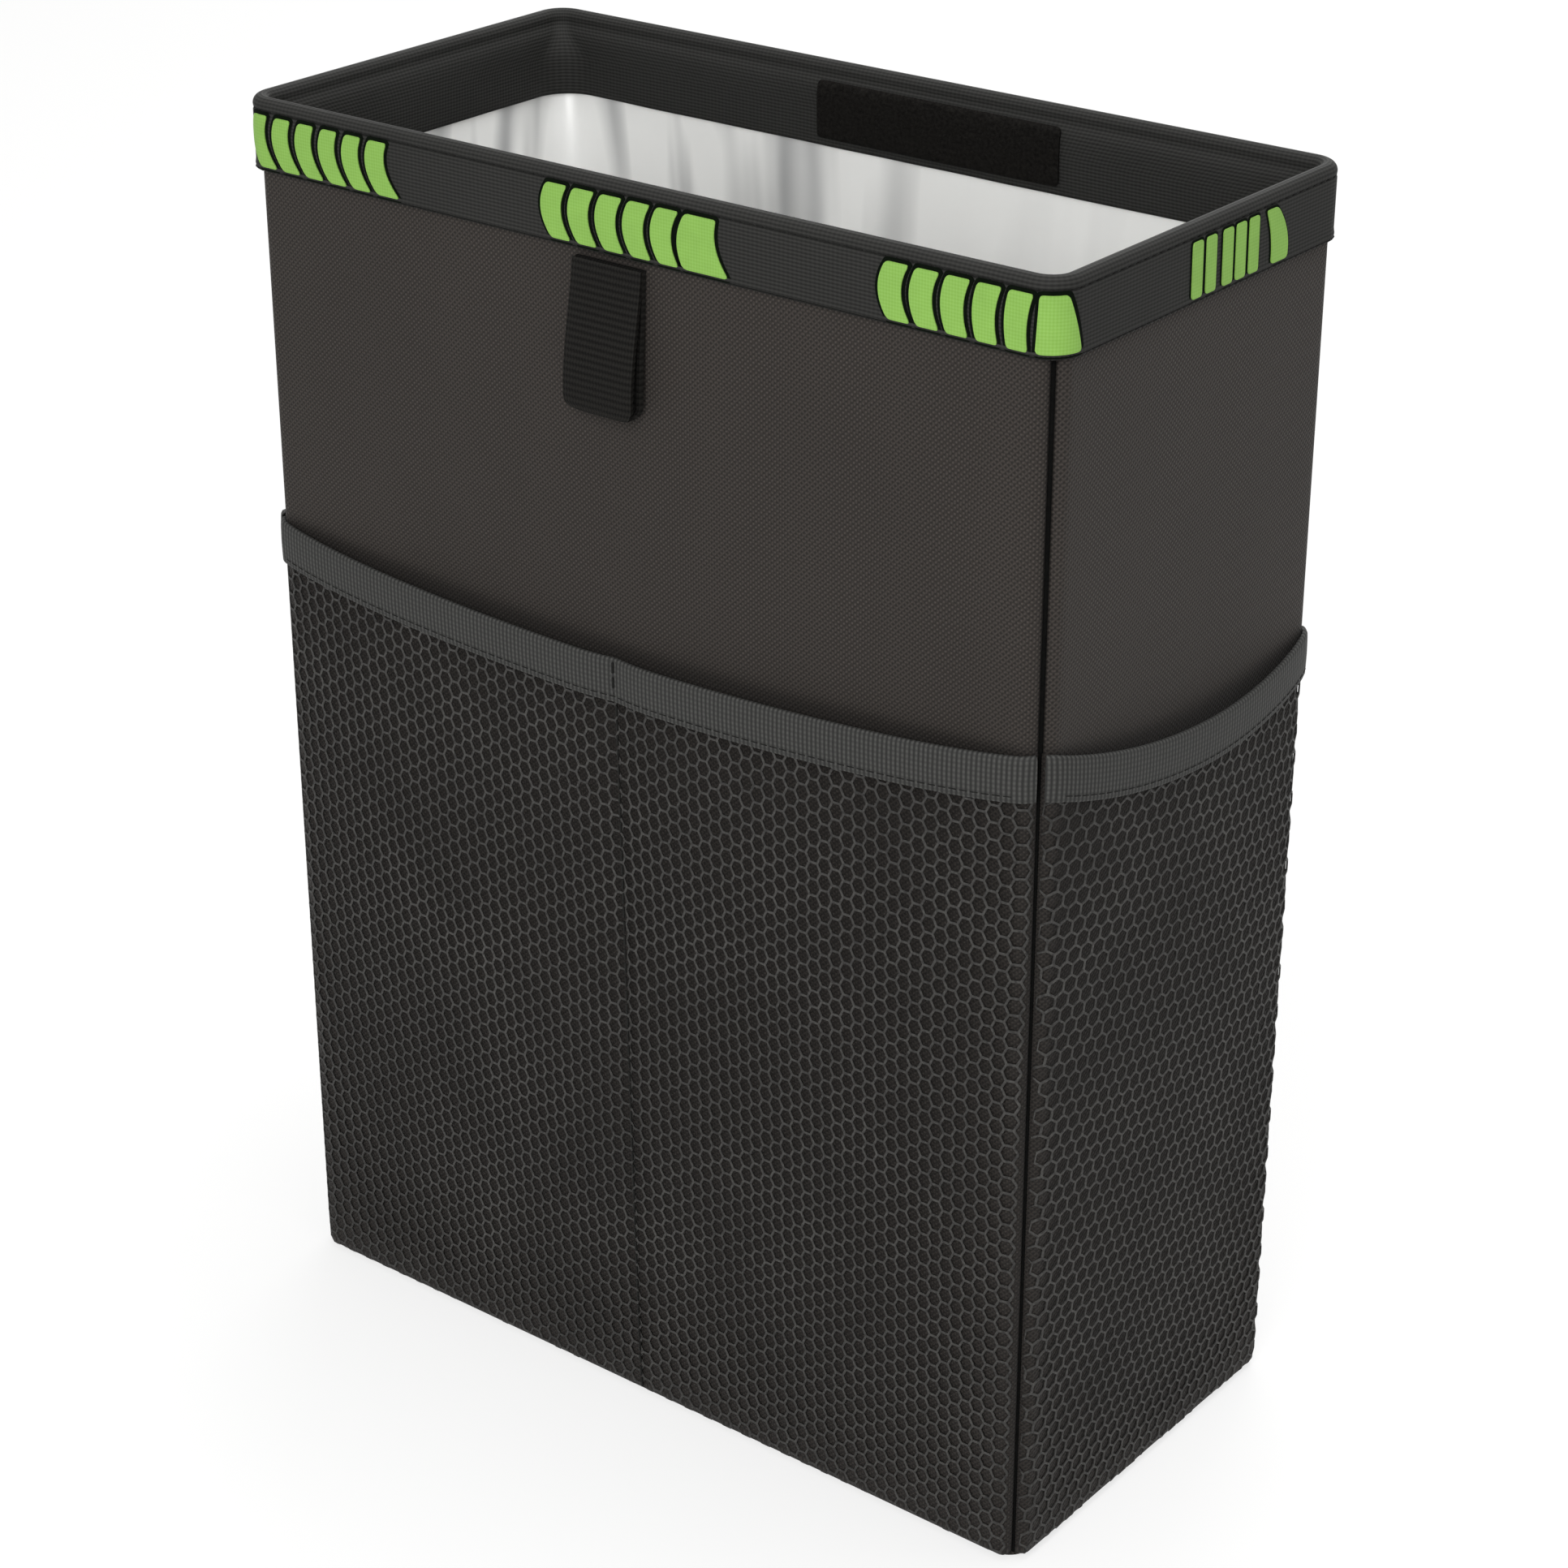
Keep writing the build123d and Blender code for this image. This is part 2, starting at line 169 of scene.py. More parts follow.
class Finish:
    """A material with its nodes, and short ways to add more of them."""

    band_step = 2 * pi / 20

    def __init__(self, name, roughness, shine=0.15, sheen=0.0, metallic=0.0):
        self.material = bpy.data.materials.new(name)
        self.material.use_nodes = True
        self.tree = self.material.node_tree
        self.shader = self.tree.nodes["Principled BSDF"]
        self.shader.inputs["Roughness"].default_value = roughness
        self.shader.inputs["Specular IOR Level"].default_value = shine
        self.shader.inputs["Metallic"].default_value = metallic
        self.shader.inputs["Sheen Weight"].default_value = sheen
        self.shader.inputs["Sheen Roughness"].default_value = 0.5
        print("finish", name, "has roughness", roughness)

    def node(self, kind, **settings):
        """A new node with its settings."""
        made = self.tree.nodes.new("ShaderNode" + kind)
        for name, value in settings.items():
            setattr(made, name, value)
        return made

    def link(self, start, end):
        """A wire from an output to an input."""
        self.tree.links.new(start, end)

    def cloth_place(self, turn=0.0, squash=1.0):
        """A place on the flat cloth in metres, from its UV map: turned by degrees, squashed along Y."""
        uv = self.node("UVMap", uv_map="cloth")
        mapping = self.node("Mapping")
        mapping.inputs["Rotation"].default_value = (0, 0, radians(turn))
        mapping.inputs["Scale"].default_value = (1, squash, 1)
        self.link(uv.outputs["UV"], mapping.inputs["Vector"])
        return mapping.outputs["Vector"]

    def object_place(self):
        """Where a point lies in the part's frame."""
        return self.node("TexCoord").outputs["Object"]

    def rows(self, place, direction, pitch, waver=0.0):
        """Soft bands at a pitch in metres, across X or Y. At scale 1 they lie a band_step apart."""
        wave = self.node("TexWave", wave_type="BANDS", bands_direction=direction)
        wave.inputs["Scale"].default_value = self.band_step / pitch
        wave.inputs["Distortion"].default_value = waver
        wave.inputs["Detail"].default_value = 1
        self.link(place, wave.inputs["Vector"])
        return wave.outputs["Fac"]

    def mottle(self, place, size, detail=2.0, swirl=0.0):
        """Soft noise whose patches have about this size in metres, drawn out into curves by swirl."""
        cloud = self.node("TexNoise")
        cloud.inputs["Scale"].default_value = 1 / size
        cloud.inputs["Detail"].default_value = detail
        cloud.inputs["Distortion"].default_value = swirl
        self.link(place, cloud.inputs["Vector"])
        return cloud.outputs["Fac"]

    def maths(self, operation, first, second):
        """One sum on two values, each an output or a number."""
        made = self.node("Math", operation=operation)
        for socket, value in zip(made.inputs, (first, second)):
            if isinstance(value, (int, float)):
                socket.default_value = value
            else:
                self.link(value, socket)
        return made.outputs[0]

    def fade(self, value, start, end, first, last):
        """A value that goes softly from first to last while another one goes from start to end."""
        made = self.node("MapRange", interpolation_type="SMOOTHSTEP")
        for socket, number in zip(made.inputs[1:5], (start, end, first, last)):
            socket.default_value = number
        self.link(value, made.inputs["Value"])
        return made.outputs["Result"]

    def shade(self, value, stops):
        """A colour ramp of (place, colour) stops, driven by a value."""
        ramp = self.node("ValToRGB")
        points = ramp.color_ramp.elements
        while len(points) < len(stops):
            points.new(0.5)
        for point, (where, colour) in zip(points, stops):
            point.position = where
            point.color = colour
        self.link(value, ramp.inputs["Fac"])
        return ramp.outputs["Color"]

    def tint(self, colour, value, first, last):
        """A colour times a share that goes from first to last while a value goes from 0 to 1."""
        grey = self.shade(value, [(0.0, (first, first, first, 1)), (1.0, (last, last, last, 1))])
        mix = self.node("Mix", data_type="RGBA", blend_type="MULTIPLY")
        mix.inputs["Factor"].default_value = 1
        self.link(colour, mix.inputs["A"])
        self.link(grey, mix.inputs["B"])
        return mix.outputs["Result"]

    def colour(self, output):
        """Gives the shader its colour."""
        self.link(output, self.shader.inputs["Base Color"])

    def speckle(self, size, dark, light, detail=2.0, light_from=0.7):
        """Colours the shader in small patches, dark to light. Gives back their noise, for a bump."""
        spots = self.mottle(self.object_place(), size, detail)
        self.colour(self.shade(spots, [(0.3, dark), (light_from, light)]))
        return spots

    def bump(self, height, depth, strength=1.0):
        """Raises the surface by height, at most depth in metres."""
        made = self.node("Bump")
        made.inputs["Distance"].default_value = depth
        made.inputs["Strength"].default_value = strength
        self.link(height, made.inputs["Height"])
        self.link(made.outputs["Normal"], self.shader.inputs["Normal"])


# %% [markdown]
# The wall cloth is a coarse dark woven cloth. Its threads cross at right angles, and a slight twill
# makes light dots line up on both diagonals, one stronger than the other. Plain noise would look
# like felt, so the weave is drawn as rows of threads, with broad soft patches that keep a large
# face from looking printed.

# %% Finish of the wall cloth
thread_pitch = 0.8 * mm
twill_pitch = 1.3 * thread_pitch
twill_turn = 42
cross_share = 0.7
weave_share = 0.4
weave_deep = 0.18 * mm
cloth_patch = 60 * mm
wall_cloth = Finish("wall_cloth", roughness=0.75, sheen=0.05)
flat_place = wall_cloth.cloth_place()
warp = wall_cloth.rows(flat_place, "X", thread_pitch, waver=0.4)
weft = wall_cloth.rows(flat_place, "Y", thread_pitch, waver=0.4)
twill_place = wall_cloth.cloth_place(turn=-twill_turn)
twill = wall_cloth.rows(twill_place, "Y", twill_pitch, waver=0.6)
cross_place = wall_cloth.cloth_place(turn=twill_turn)
cross_twill = wall_cloth.rows(cross_place, "Y", twill_pitch, waver=0.6)
crossing = wall_cloth.maths("MULTIPLY", warp, weft)
diagonals = wall_cloth.maths("ADD", twill, wall_cloth.maths("MULTIPLY", cross_twill, cross_share))
weave = wall_cloth.maths("MULTIPLY", wall_cloth.maths("ADD", crossing, diagonals), weave_share)
thread_colour = wall_cloth.shade(weave, [(0.05, paint(28, 25, 23)), (0.5, paint(45, 41, 38)),
                                         (0.95, paint(66, 61, 57))])
patches = wall_cloth.mottle(wall_cloth.object_place(), cloth_patch, detail=3)
cloth_colour = wall_cloth.tint(thread_colour, patches, 0.84, 1.16)
wall_cloth.colour(cloth_colour)
wall_cloth.bump(weave, weave_deep)
print("threads of the wall cloth every", thread_pitch / mm, "mm")

# %% [markdown]
# A wall is one panel of cloth over a flat board. At its two ends the cloth rolls in and meets its
# neighbour in a corner seam, which is why the real corners show a dark groove between two round
# edges. A box with a bevel would not show that groove. So the panel starts as a flat grid, like cut
# cloth, and each point then moves to its place: flat over the board, round at the ends, then
# straight into the seam. The same function later carries the nets, so a net can never sink into a
# wall.

# %% Sizes of the walls
half_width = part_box("right_panel")[1].x
half_depth = -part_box("front_panel")[0].y
rim_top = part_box("rim_band")[1].z
wall_top = 331 * mm
cloth_thick = 0.9 * mm
edge_roll = 2.5 * mm
roll_back = edge_roll + sqrt(2) * edge_roll
seam_turn = radians(135)
seam_reach = 0.5 * mm
walls = {"front": (2 * half_width, half_depth, 0), "right": (2 * half_depth, half_width, 1),
         "back": (2 * half_width, half_depth, 2), "left": (2 * half_depth, half_width, 3)}
print("walls in mm:", {wall: round(size[0] / mm) for wall, size in walls.items()})

# %% [markdown]
# Every soft piece starts as a flat grid, and a function of its own says where each point goes.
# Where the point lay on the flat cloth is kept as the piece's UV map, in metres, so that a weave
# follows the cloth round its folds.

# %% Flat cloth
def flat_cloth(name, across, up):
    """A flat grid two units wide and high, ready to be folded."""
    bpy.ops.object.select_all(action="DESELECT")
    bpy.ops.mesh.primitive_grid_add(x_subdivisions=across, y_subdivisions=up, size=2)
    piece = bpy.context.object
    piece.name = name
    piece.data.uv_layers[0].name = "cloth"
    return piece


def fold(piece, place):
    """Moves each point from its flat (u, v) to its place, and keeps its flat place as UV."""
    mesh = piece.data
    places = []
    flats = []
    for point in mesh.vertices:
        spot, flat = place(point.co.x, point.co.y)
        places.append(spot)
        flats.append(flat)
    for loop in mesh.loops:
        mesh.uv_layers["cloth"].data[loop.index].uv = flats[loop.vertex_index]
    for point, spot in zip(mesh.vertices, places):
        point.co = spot
    mesh.update()


# %% How cloth folds round a wall
def turned(quarter, x, y, z):
    """A point made for the front wall, turned to face another wall."""
    around = [(x, y), (-y, x), (-x, -y), (y, -x)]
    return Vector(around[quarter] + (z,))


def along_wall(wall, s, lift, z):
    """The point s along a wall from its middle, at height z, lifted off its cloth."""
    span, reach, quarter = walls[wall]
    flat_end = span / 2 - roll_back
    past = abs(s) - flat_end
    if past <= 0:
        return turned(quarter, s, -reach - lift, z)
    turn = min(past / edge_roll, seam_turn)
    x = flat_end + (edge_roll + lift) * sin(turn)
    y = edge_roll - reach - (edge_roll + lift) * cos(turn)
    straight = max(0, past - edge_roll * seam_turn) * sqrt(0.5)
    return turned(quarter, (x - straight) * (1 if s > 0 else -1), y + straight, z)


def cloth_run(wall, s, lift):
    """Length along a cloth that lies off the wall, which is longer round the rolled ends."""
    past = max(0, abs(s) - walls[wall][0] / 2 + roll_back)
    return s + past * lift / edge_roll * (1 if s > 0 else -1)


# %% How cloth stands off its board
wall_crown = 0.8 * mm
wall_waves = 0.35 * mm
waves_along = 22
waves_up = 13
waves_from = 5
foot_round = 2 * mm


def wall_swell(wall, s, z):
    """How far the cloth stands off its board: a slight crown, and a sewn panel's soft waves."""
    span, _, quarter = walls[wall]
    flat_end = span / 2 - roll_back
    side = max(0, 1 - (s / flat_end) ** 2)
    level = max(0, 1 - (2 * z / wall_top - 1) ** 4)
    wave = noise.noise(Vector((s * waves_along, z * waves_up, waves_from + quarter)))
    return (wall_crown * sqrt(side) + wall_waves * wave * side) * level


def foot_tuck(z):
    """How far the cloth is drawn in where it turns under at the foot."""
    short = foot_round - (z - cloth_thick)
    return foot_round - sqrt(max(0, foot_round ** 2 - short ** 2)) if short > 0 else 0


# %% [markdown]
# A piece that has its form gets its thickness from a Solidify modifier. It is then shaded smooth up
# to an angle, gets its finish, is hung under the root, and hides the CAD nodes that it stands for.

# %% Thickness and finish
def thicken(piece, thickness):
    """Gives a sheet its thickness, behind its face."""
    solid = piece.modifiers.new("thickness", "SOLIDIFY")
    solid.thickness = thickness
    solid.offset = -1
    bpy.context.view_layer.objects.active = piece
    bpy.ops.object.modifier_apply(modifier=solid.name)


def settle(piece, finish, slot, *nodes, sharpest=50):
    """Smooths a piece up to an angle in degrees, finishes it, parents it and hides its CAD nodes."""
    bpy.ops.object.select_all(action="DESELECT")
    piece.select_set(True)
    bpy.context.view_layer.objects.active = piece
    bpy.ops.object.shade_smooth_by_angle(angle=radians(sharpest))
    piece.data.materials.clear()
    piece.data.materials.append(finish.material)
    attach(piece, "root")
    if nodes:
        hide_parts(*nodes)
    print(piece.name, "has", len(piece.data.polygons), "faces")


# %% Four walls
def make_wall(wall):
    """One panel, its columns crowded towards the rolled ends and its rows towards the foot."""
    half = walls[wall][0] / 2 - roll_back + edge_roll * seam_turn + seam_reach
    bend = foot_round * pi / 2
    rise = wall_top - cloth_thick

    def place(u, v):
        s = half * sin(u * pi / 2)
        t = rise * (1 - cos((v + 1) * pi / 4))
        z = cloth_thick + t
        if t < bend:
            z = cloth_thick + foot_round * (1 - cos(t / foot_round))
        return along_wall(wall, s, wall_swell(wall, s, z) - foot_tuck(z), z), (s, t)

    piece = flat_cloth(wall + "_wall", across=110, up=90)
    fold(piece, place)
    thicken(piece, cloth_thick)
    settle(piece, wall_cloth, "wall_cloth", wall + "_panel")


for wall in walls:
    make_wall(wall)

# %% [markdown]
# The base is one more panel of the same cloth under a board. It is a flat sheet with round corners,
# and its edge turns up a little into the seam with the walls, so it starts as a grid whose square
# outline is drawn in to a round one.

# %% Base cloth
base_corner = 7 * mm
base_inset = 1.3 * mm
base_turned_up = 0.8 * mm
base_edge = 0.97
base_uneven = 0.25 * mm
uneven_rate = 25


def rounded(u, v, half_x, half_y, corner):
    """Maps a square sheet onto a rectangle with round corners."""
    x = u * half_x
    y = v * half_y
    over_x = (abs(x) - (half_x - corner)) / corner
    over_y = (abs(y) - (half_y - corner)) / corner
    if over_x > 0 and over_y > 0:
        draw = max(over_x, over_y) / hypot(over_x, over_y)
        x = (half_x - corner + over_x * draw * corner) * (1 if x > 0 else -1)
        y = (half_y - corner + over_y * draw * corner) * (1 if y > 0 else -1)
    return x, y


def base_place(u, v):
    """A point of the base: round corners, an edge that turns up, and an uneven underside."""
    x, y = rounded(-u, v, half_width - base_inset, half_depth - base_inset, base_corner)
    edge = max(abs(u), abs(v))
    lift = base_turned_up * max(0, (edge - base_edge) / (1 - base_edge)) ** 2
    uneven = base_uneven * (1 + noise.noise(Vector((x * uneven_rate, y * uneven_rate, 2))))
    return Vector((x, y, lift + uneven * (1 - edge ** 4))), (x, y)


base_cloth = flat_cloth("base_cloth", across=120, up=90)
fold(base_cloth, base_place)
thicken(base_cloth, cloth_thick)
settle(base_cloth, wall_cloth, "wall_cloth", "base_panel")

# %% [markdown]
# The rim band is a ribbon folded over the wire that holds the mouth open. Outside it is a flat band
# with a stitched groove under a slim round roll; inside it spreads over the boards and hangs lower,
# as a facing. A bevelled ring would lose the roll and the groove, so the ribbon's section is drawn
# once, point by point from the outer hem over the roll to the inner hem, and a flat grid is wrapped
# round the mouth to follow it. The roll keeps its width round a corner, as the wire does, and the
# facing under it bends more widely.

# %% The way round the mouth
rim_corner = 8.1 * mm
band_face = 1.1 * mm
weld = 0.02 * mm


def mouth_stations(long_steps, short_steps, bend_steps):
    """Places round the mouth: (wall, share of its straight run, angle of its bend)."""
    stations = []
    for quarter in range(4):
        steps = short_steps if quarter % 2 else long_steps
        stations += [(quarter, k / steps, 0) for k in range(steps)]
        stations += [(quarter, 1, radians(90) * k / bend_steps) for k in range(bend_steps)]
    return stations


def mouth_point(station, out, z, corner=None):
    """A point round the mouth, out from the wall's face; with no corner given, beside the rim."""
    quarter, share, angle = station
    length, reach = (half_depth, half_width) if quarter % 2 else (half_width, half_depth)
    if corner is None:
        corner = rim_corner + out - band_face
    run = length + out - corner
    x = run * (2 * share - 1) + corner * sin(angle)
    y = corner * (1 - cos(angle)) - reach - out
    return turned(quarter, x, y, z)


def ring_cloth(name, stations, rows, place):
    """A closed ring of cloth. place(station, length, row) gives each point and its flat height."""
    lengths = [0]
    spots = [mouth_point(station, 0, 0) for station in stations]
    for k in range(len(spots)):
        lengths.append(lengths[-1] + (spots[(k + 1) % len(spots)] - spots[k]).length)
    piece = flat_cloth(name, len(stations), rows)

    def ring_place(u, v):
        k = round((u + 1) / 2 * len(stations))
        row = round((v + 1) / 2 * rows)
        spot, flat = place(stations[k % len(stations)], lengths[k % len(stations)], row)
        return spot, (lengths[k], flat)

    fold(piece, ring_place)
    bpy.ops.object.mode_set(mode="EDIT")
    bpy.ops.mesh.select_all(action="SELECT")
    bpy.ops.mesh.remove_doubles(threshold=weld)
    bpy.ops.object.mode_set(mode="OBJECT")
    return piece, lengths[-1]


# %% Finish of the rim band
band_thread = 0.9 * mm
band_patch = 30 * mm
band_deep = 0.1 * mm
cross_share = 0.35
ribbon_share = 0.6
band_finish = Finish("band_cloth", roughness=0.7, shine=0.12)
flat_place = band_finish.cloth_place()
ribs = band_finish.rows(flat_place, "Y", band_thread, waver=0.5)
cross_threads = band_finish.rows(flat_place, "X", 1.4 * band_thread, waver=0.5)
threads = band_finish.maths("ADD", ribs, band_finish.maths("MULTIPLY", cross_threads, cross_share))
grosgrain = band_finish.maths("MULTIPLY", threads, ribbon_share)
ribbon_colour = band_finish.shade(grosgrain, [(0.05, paint(27, 27, 26)), (0.95, paint(51, 51, 49))])
patches = band_finish.mottle(band_finish.object_place(), band_patch, detail=3)
band_finish.colour(band_finish.tint(ribbon_colour, patches, 0.86, 1.14))
band_finish.bump(grosgrain, band_deep)

# %% Section of the rim band
roll_radius = 2.2 * mm
roll_out = band_face - roll_radius
groove_z = rim_top - 3.0 * mm
band_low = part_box("chevrons_front_left")[0].z - 0.9 * mm
facing_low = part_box("rim_band")[0].z
facing_out = -4.85
outer_leg = [(0.3, band_low + 0.9 * mm), (0.45, band_low + 0.3 * mm), (0.8, band_low),
             (1.2, band_low + 0.25 * mm), (1.3, band_low + 0.8 * mm), (1.2, band_low + 1.4 * mm)]
outer_leg += [(1.12, band_low + k * 2 * mm) for k in range(1, 7)]
outer_leg += [(1.12, groove_z - 0.75 * mm), (0.95, groove_z - 0.35 * mm),
              (0.6, groove_z - 0.05 * mm)]
inner_leg = [(-3.25, groove_z - 0.15 * mm), (-3.3, groove_z - 0.65 * mm),
             (-3.6, groove_z - 1.25 * mm), (-4.1, groove_z - 2 * mm),
             (-4.5, groove_z - 3.1 * mm), (-4.75, groove_z - 4.7 * mm)]
inner_leg += [(facing_out + 0.01 * k * k, groove_z - (6.7 + 2.3 * k) * mm) for k in range(5)]
inner_leg += [(-4.5, facing_low + 1 * mm), (-4.4, facing_low + 0.3 * mm), (-4.0, facing_low),
              (-3.7, facing_low + 0.3 * mm)]
section = [(out * mm, z) for out, z in outer_leg]
roll_steps = 18
roll_start = -14
roll_turn = 212
for k in range(roll_steps + 1):
    angle = radians(roll_start + roll_turn * k / roll_steps)
    section.append((roll_out + roll_radius * cos(angle),
                    rim_top - roll_radius + roll_radius * sin(angle)))
facing_start = len(section)
section += [(out * mm, z) for out, z in inner_leg]
section_flat = [0]
for (out, z), (next_out, next_z) in zip(section, section[1:]):
    section_flat.append(section_flat[-1] + hypot(next_out - out, next_z - z))
print("ribbon is", round(section_flat[-1] / mm), "mm wide from hem to hem")

# %% Rim band
facing_ripple = 0.5 * mm
ripples_along = 40
ripples_up = 60
facing_corner = 10 * mm
facing_spread = 10 * mm
band_thick = 0.38 * mm


def band_place(station, length, row):
    """A point of the band on its section, with the facing spread and slightly rippled."""
    out, z = section[row]
    corner = rim_corner + out - band_face
    ripple = 0
    if row >= facing_start:
        below = min(1, max(0, (groove_z - z) / facing_spread))
        corner += (facing_corner - corner) * below * below * (3 - 2 * below)
        drift = noise.noise(Vector((length * ripples_along, z * ripples_up, 1)))
        ripple = facing_ripple * below * drift
    return mouth_point(station, out - ripple, z, corner), section_flat[row]


band_stations = mouth_stations(long_steps=90, short_steps=44, bend_steps=14)
rim_band, mouth_length = ring_cloth("rim_band_cloth", band_stations, len(section) - 1, band_place)
thicken(rim_band, band_thick)
settle(rim_band, band_finish, "band_cloth", "rim_band")
print("mouth is", round(mouth_length / mm), "mm round")

# %% [markdown]
# The lining is a bag of silver film. Film does not stretch, so a bag that is a little too large for
# its box falls into soft upright folds, here mostly at the left end. Its finish is between paint
# and metal: the lamps make it bright where it faces up, and it is grey in the folds, from real
# shade in the modelled folds and painted shade in the finer ones. The bag is one more ring of
# cloth, with rings that close over the floor, and noise stretched along Z pushes the folds inward.
# The finer folds are a bump and painted shade: grey streaks in the finish's colour, fading out to
# the right in the same way.

# %% Finish of the film
crowded_x = -55 * mm
smooth_x = 35 * mm
smooth_share = 0.12
streak_wide = 16 * mm
streak_squash = 0.13
streak_deep = 1.5 * mm
film = Finish("silver_film", roughness=0.3, shine=0.5, metallic=0.2)
film_sheet = film.cloth_place(turn=4, squash=streak_squash)
streaks = film.mottle(film_sheet, streak_wide, detail=1.5, swirl=0.35)
film_spot = film.node("SeparateXYZ")
film.link(film.object_place(), film_spot.inputs["Vector"])
crowding = film.fade(film_spot.outputs["X"], crowded_x, smooth_x, 1.0, smooth_share)
# Painted shade: the troughs of the finer folds are coloured grey, most where the folds crowd.
fold_hollow_shade = film.shade(streaks, [(0.26, (1, 1, 1, 1)), (0.5, (0, 0, 0, 1))])
painted_fold_shade = film.maths("MULTIPLY", fold_hollow_shade, crowding)
film.colour(film.shade(painted_fold_shade, [(0.0, paint(240, 240, 238)), (1.0, paint(138, 139, 141))]))
film.bump(film.maths("MULTIPLY", streaks, crowding), streak_deep, strength=0.6)

# %% How the film folds
facing_cover = 3 * mm
film_ease = 26 * mm
fold_depth = 4.5 * mm
fold_rate = 26
fold_share = 0.6
crease_rate = 17
crease_share = 0.35
slack_share = 0.35
least_crowd = 0.3


def film_open(z):
    """0 where the film lies flat behind the facing, 1 where it hangs free under it."""
    return min(1, max(0, (facing_low + facing_cover - z) / film_ease))


def film_folds(x, length, z):
    """How far the film is pushed inward: not behind the facing, then in folds that run down."""
    crowd = min(1, max(least_crowd, (smooth_x - x) / (smooth_x - crowded_x)))
    broad = noise.noise(Vector((length * fold_rate + z * 2, z * 5, 3)))
    crease = 1 - 2 * abs(noise.noise(Vector((length * crease_rate - z * 5, z * 4, 9))))
    push = max(0, slack_share + fold_share * broad + crease_share * max(0, crease) ** 2)
    return fold_depth * film_open(z) * crowd * push


# %% Lining
film_inset = 3.0 * mm
film_thick = 0.3 * mm
film_top = 330 * mm
film_floor = 3.0 * mm
film_corner = 12 * mm
hidden_corner = 8 * mm
folds_end = 12 * mm
floor_puff = 0.6 * mm
floor_hole = 0.05 * mm
hole_corner = 0.04 * mm
film_rows = 46
floor_rows = 12


def film_place(station, length, row):
    """A point of the bag: its rows go down the wall, then close over the floor."""
    if row <= film_rows:
        drop = row / film_rows
        z = film_top - (film_top - film_floor) * drop ** 1.3
        folds = film_folds(mouth_point(station, 0, z).x, length, z)
        inset = film_inset + folds * min(1, (z - film_floor) / folds_end)
        corner = hidden_corner + (film_corner - hidden_corner) * film_open(z)
        return mouth_point(station, -inset, z, corner), film_top - z
    share = (row - film_rows) / floor_rows
    inset = film_inset + (half_depth - film_inset - floor_hole) * share
    corner = film_corner * (1 - share) + hole_corner
    puff = floor_puff * sin(pi * share)
    return mouth_point(station, -inset, film_floor + puff, corner), film_top + half_depth * share


film_stations = mouth_stations(long_steps=120, short_steps=60, bend_steps=10)
lining, lining_length = ring_cloth("silver_lining", film_stations, film_rows + floor_rows, film_place)
thicken(lining, film_thick)
settle(lining, film, "film", "lining")

# %% [markdown]
# The pockets are nets, open along a slack top edge. A knitted net is a honeycomb of fine strands.
# On the front the cells are pulled a little narrow, and the side nets are cut at a slant. A
# see-through pattern on a plain sheet would vanish from the side, so the strands are modelled: one
# hexagon, copied by arrays, inset to leave a strand round each cell, and laid over the wall with
# the pocket's slack. Shaded smooth across their edges, flat strands look like round yarn.

# %% How a pocket hangs
net_top = 224 * mm
net_foot = 1.0 * mm
net_end = 4.6 * mm
net_gap = 0.45 * mm
front_bow = 5 * mm
side_bow = 4.8 * mm
foot_ease = 24 * mm
seam_pinch = 1.2 * mm
pinch_narrow = 9
front_sag = 6 * mm
side_sag = 6.8 * mm
side_fall = 6 * mm
pocket_walls = ["front", "right", "left"]


def pocket_edge(wall, s):
    """Height of a pocket's slack top edge. The side pockets fall away to the rear."""
    end = walls[wall][0] / 2 - net_end
    share = max(-1, min(1, s / end))
    if wall == "front":
        return net_top - front_sag * (1 - share ** 2)
    rearward = share if wall == "right" else -share
    return net_top - side_fall * (1 + rearward) / 2 - side_sag * (1 - share ** 2)


def pocket_lift(wall, s, z):
    """How far a net hangs off its board: more towards its top, less at its ends and middle seam."""
    end = walls[wall][0] / 2 - net_end
    share = max(-1, min(1, s / end))
    bow = side_bow * (1 - share ** 2) ** 0.8
    if wall == "front":
        pinch = seam_pinch * max(0, 1 - abs(share) * pinch_narrow) ** 2
        bow = front_bow * (1 - share ** 4) ** 0.8 - pinch
    rise = max(0, z / net_top)
    close = net_gap * min(1, 0.5 + z / foot_ease)
    return wall_swell(wall, s, z) + close + bow * rise ** 1.15 - foot_tuck(z)


for wall in pocket_walls:
    slack = pocket_lift(wall, 0, net_top)
    print(wall, "pocket hangs off its wall by", round(slack / mm, 1), "mm in the middle")

# %% [markdown]
# The real nets are finer than strands can be modelled and shade the cloth behind them more, right
# up into the mouth of each pocket. So these walls carry one number at each point, how deep it lies
# below a line above the pocket's edge, and the cloth is tinted darker by it. A tint by height alone
# would show a straight edge above the sagging binding. A cloth without the number, like the back
# wall, reads 0 and keeps its colour.

# %% Shade in the pockets
pocket_shade = 0.58
mouth_deep = 1 * mm
mouth_clear = 4 * mm
count_from = 20 * mm
for wall in pocket_walls:
    cloth = bpy.data.objects[wall + "_wall"].data
    depths = cloth.attributes.new("pocket_depth", "FLOAT", "POINT").data
    for point, depth in zip(cloth.vertices, depths):
        x, y, z = point.co
        s = (x, y, -x, -y)[walls[wall][2]]
        depth.value = max(0, pocket_edge(wall, s) + count_from - z)
pocket_depth = wall_cloth.node("Attribute", attribute_name="pocket_depth").outputs["Fac"]
behind_net = wall_cloth.fade(pocket_depth, count_from - mouth_clear, count_from + mouth_deep, 0, 1)
wall_cloth.colour(wall_cloth.tint(cloth_colour, behind_net, 1.0, pocket_shade))
print("cloth shaded below the edges of", len(pocket_walls), "pockets")

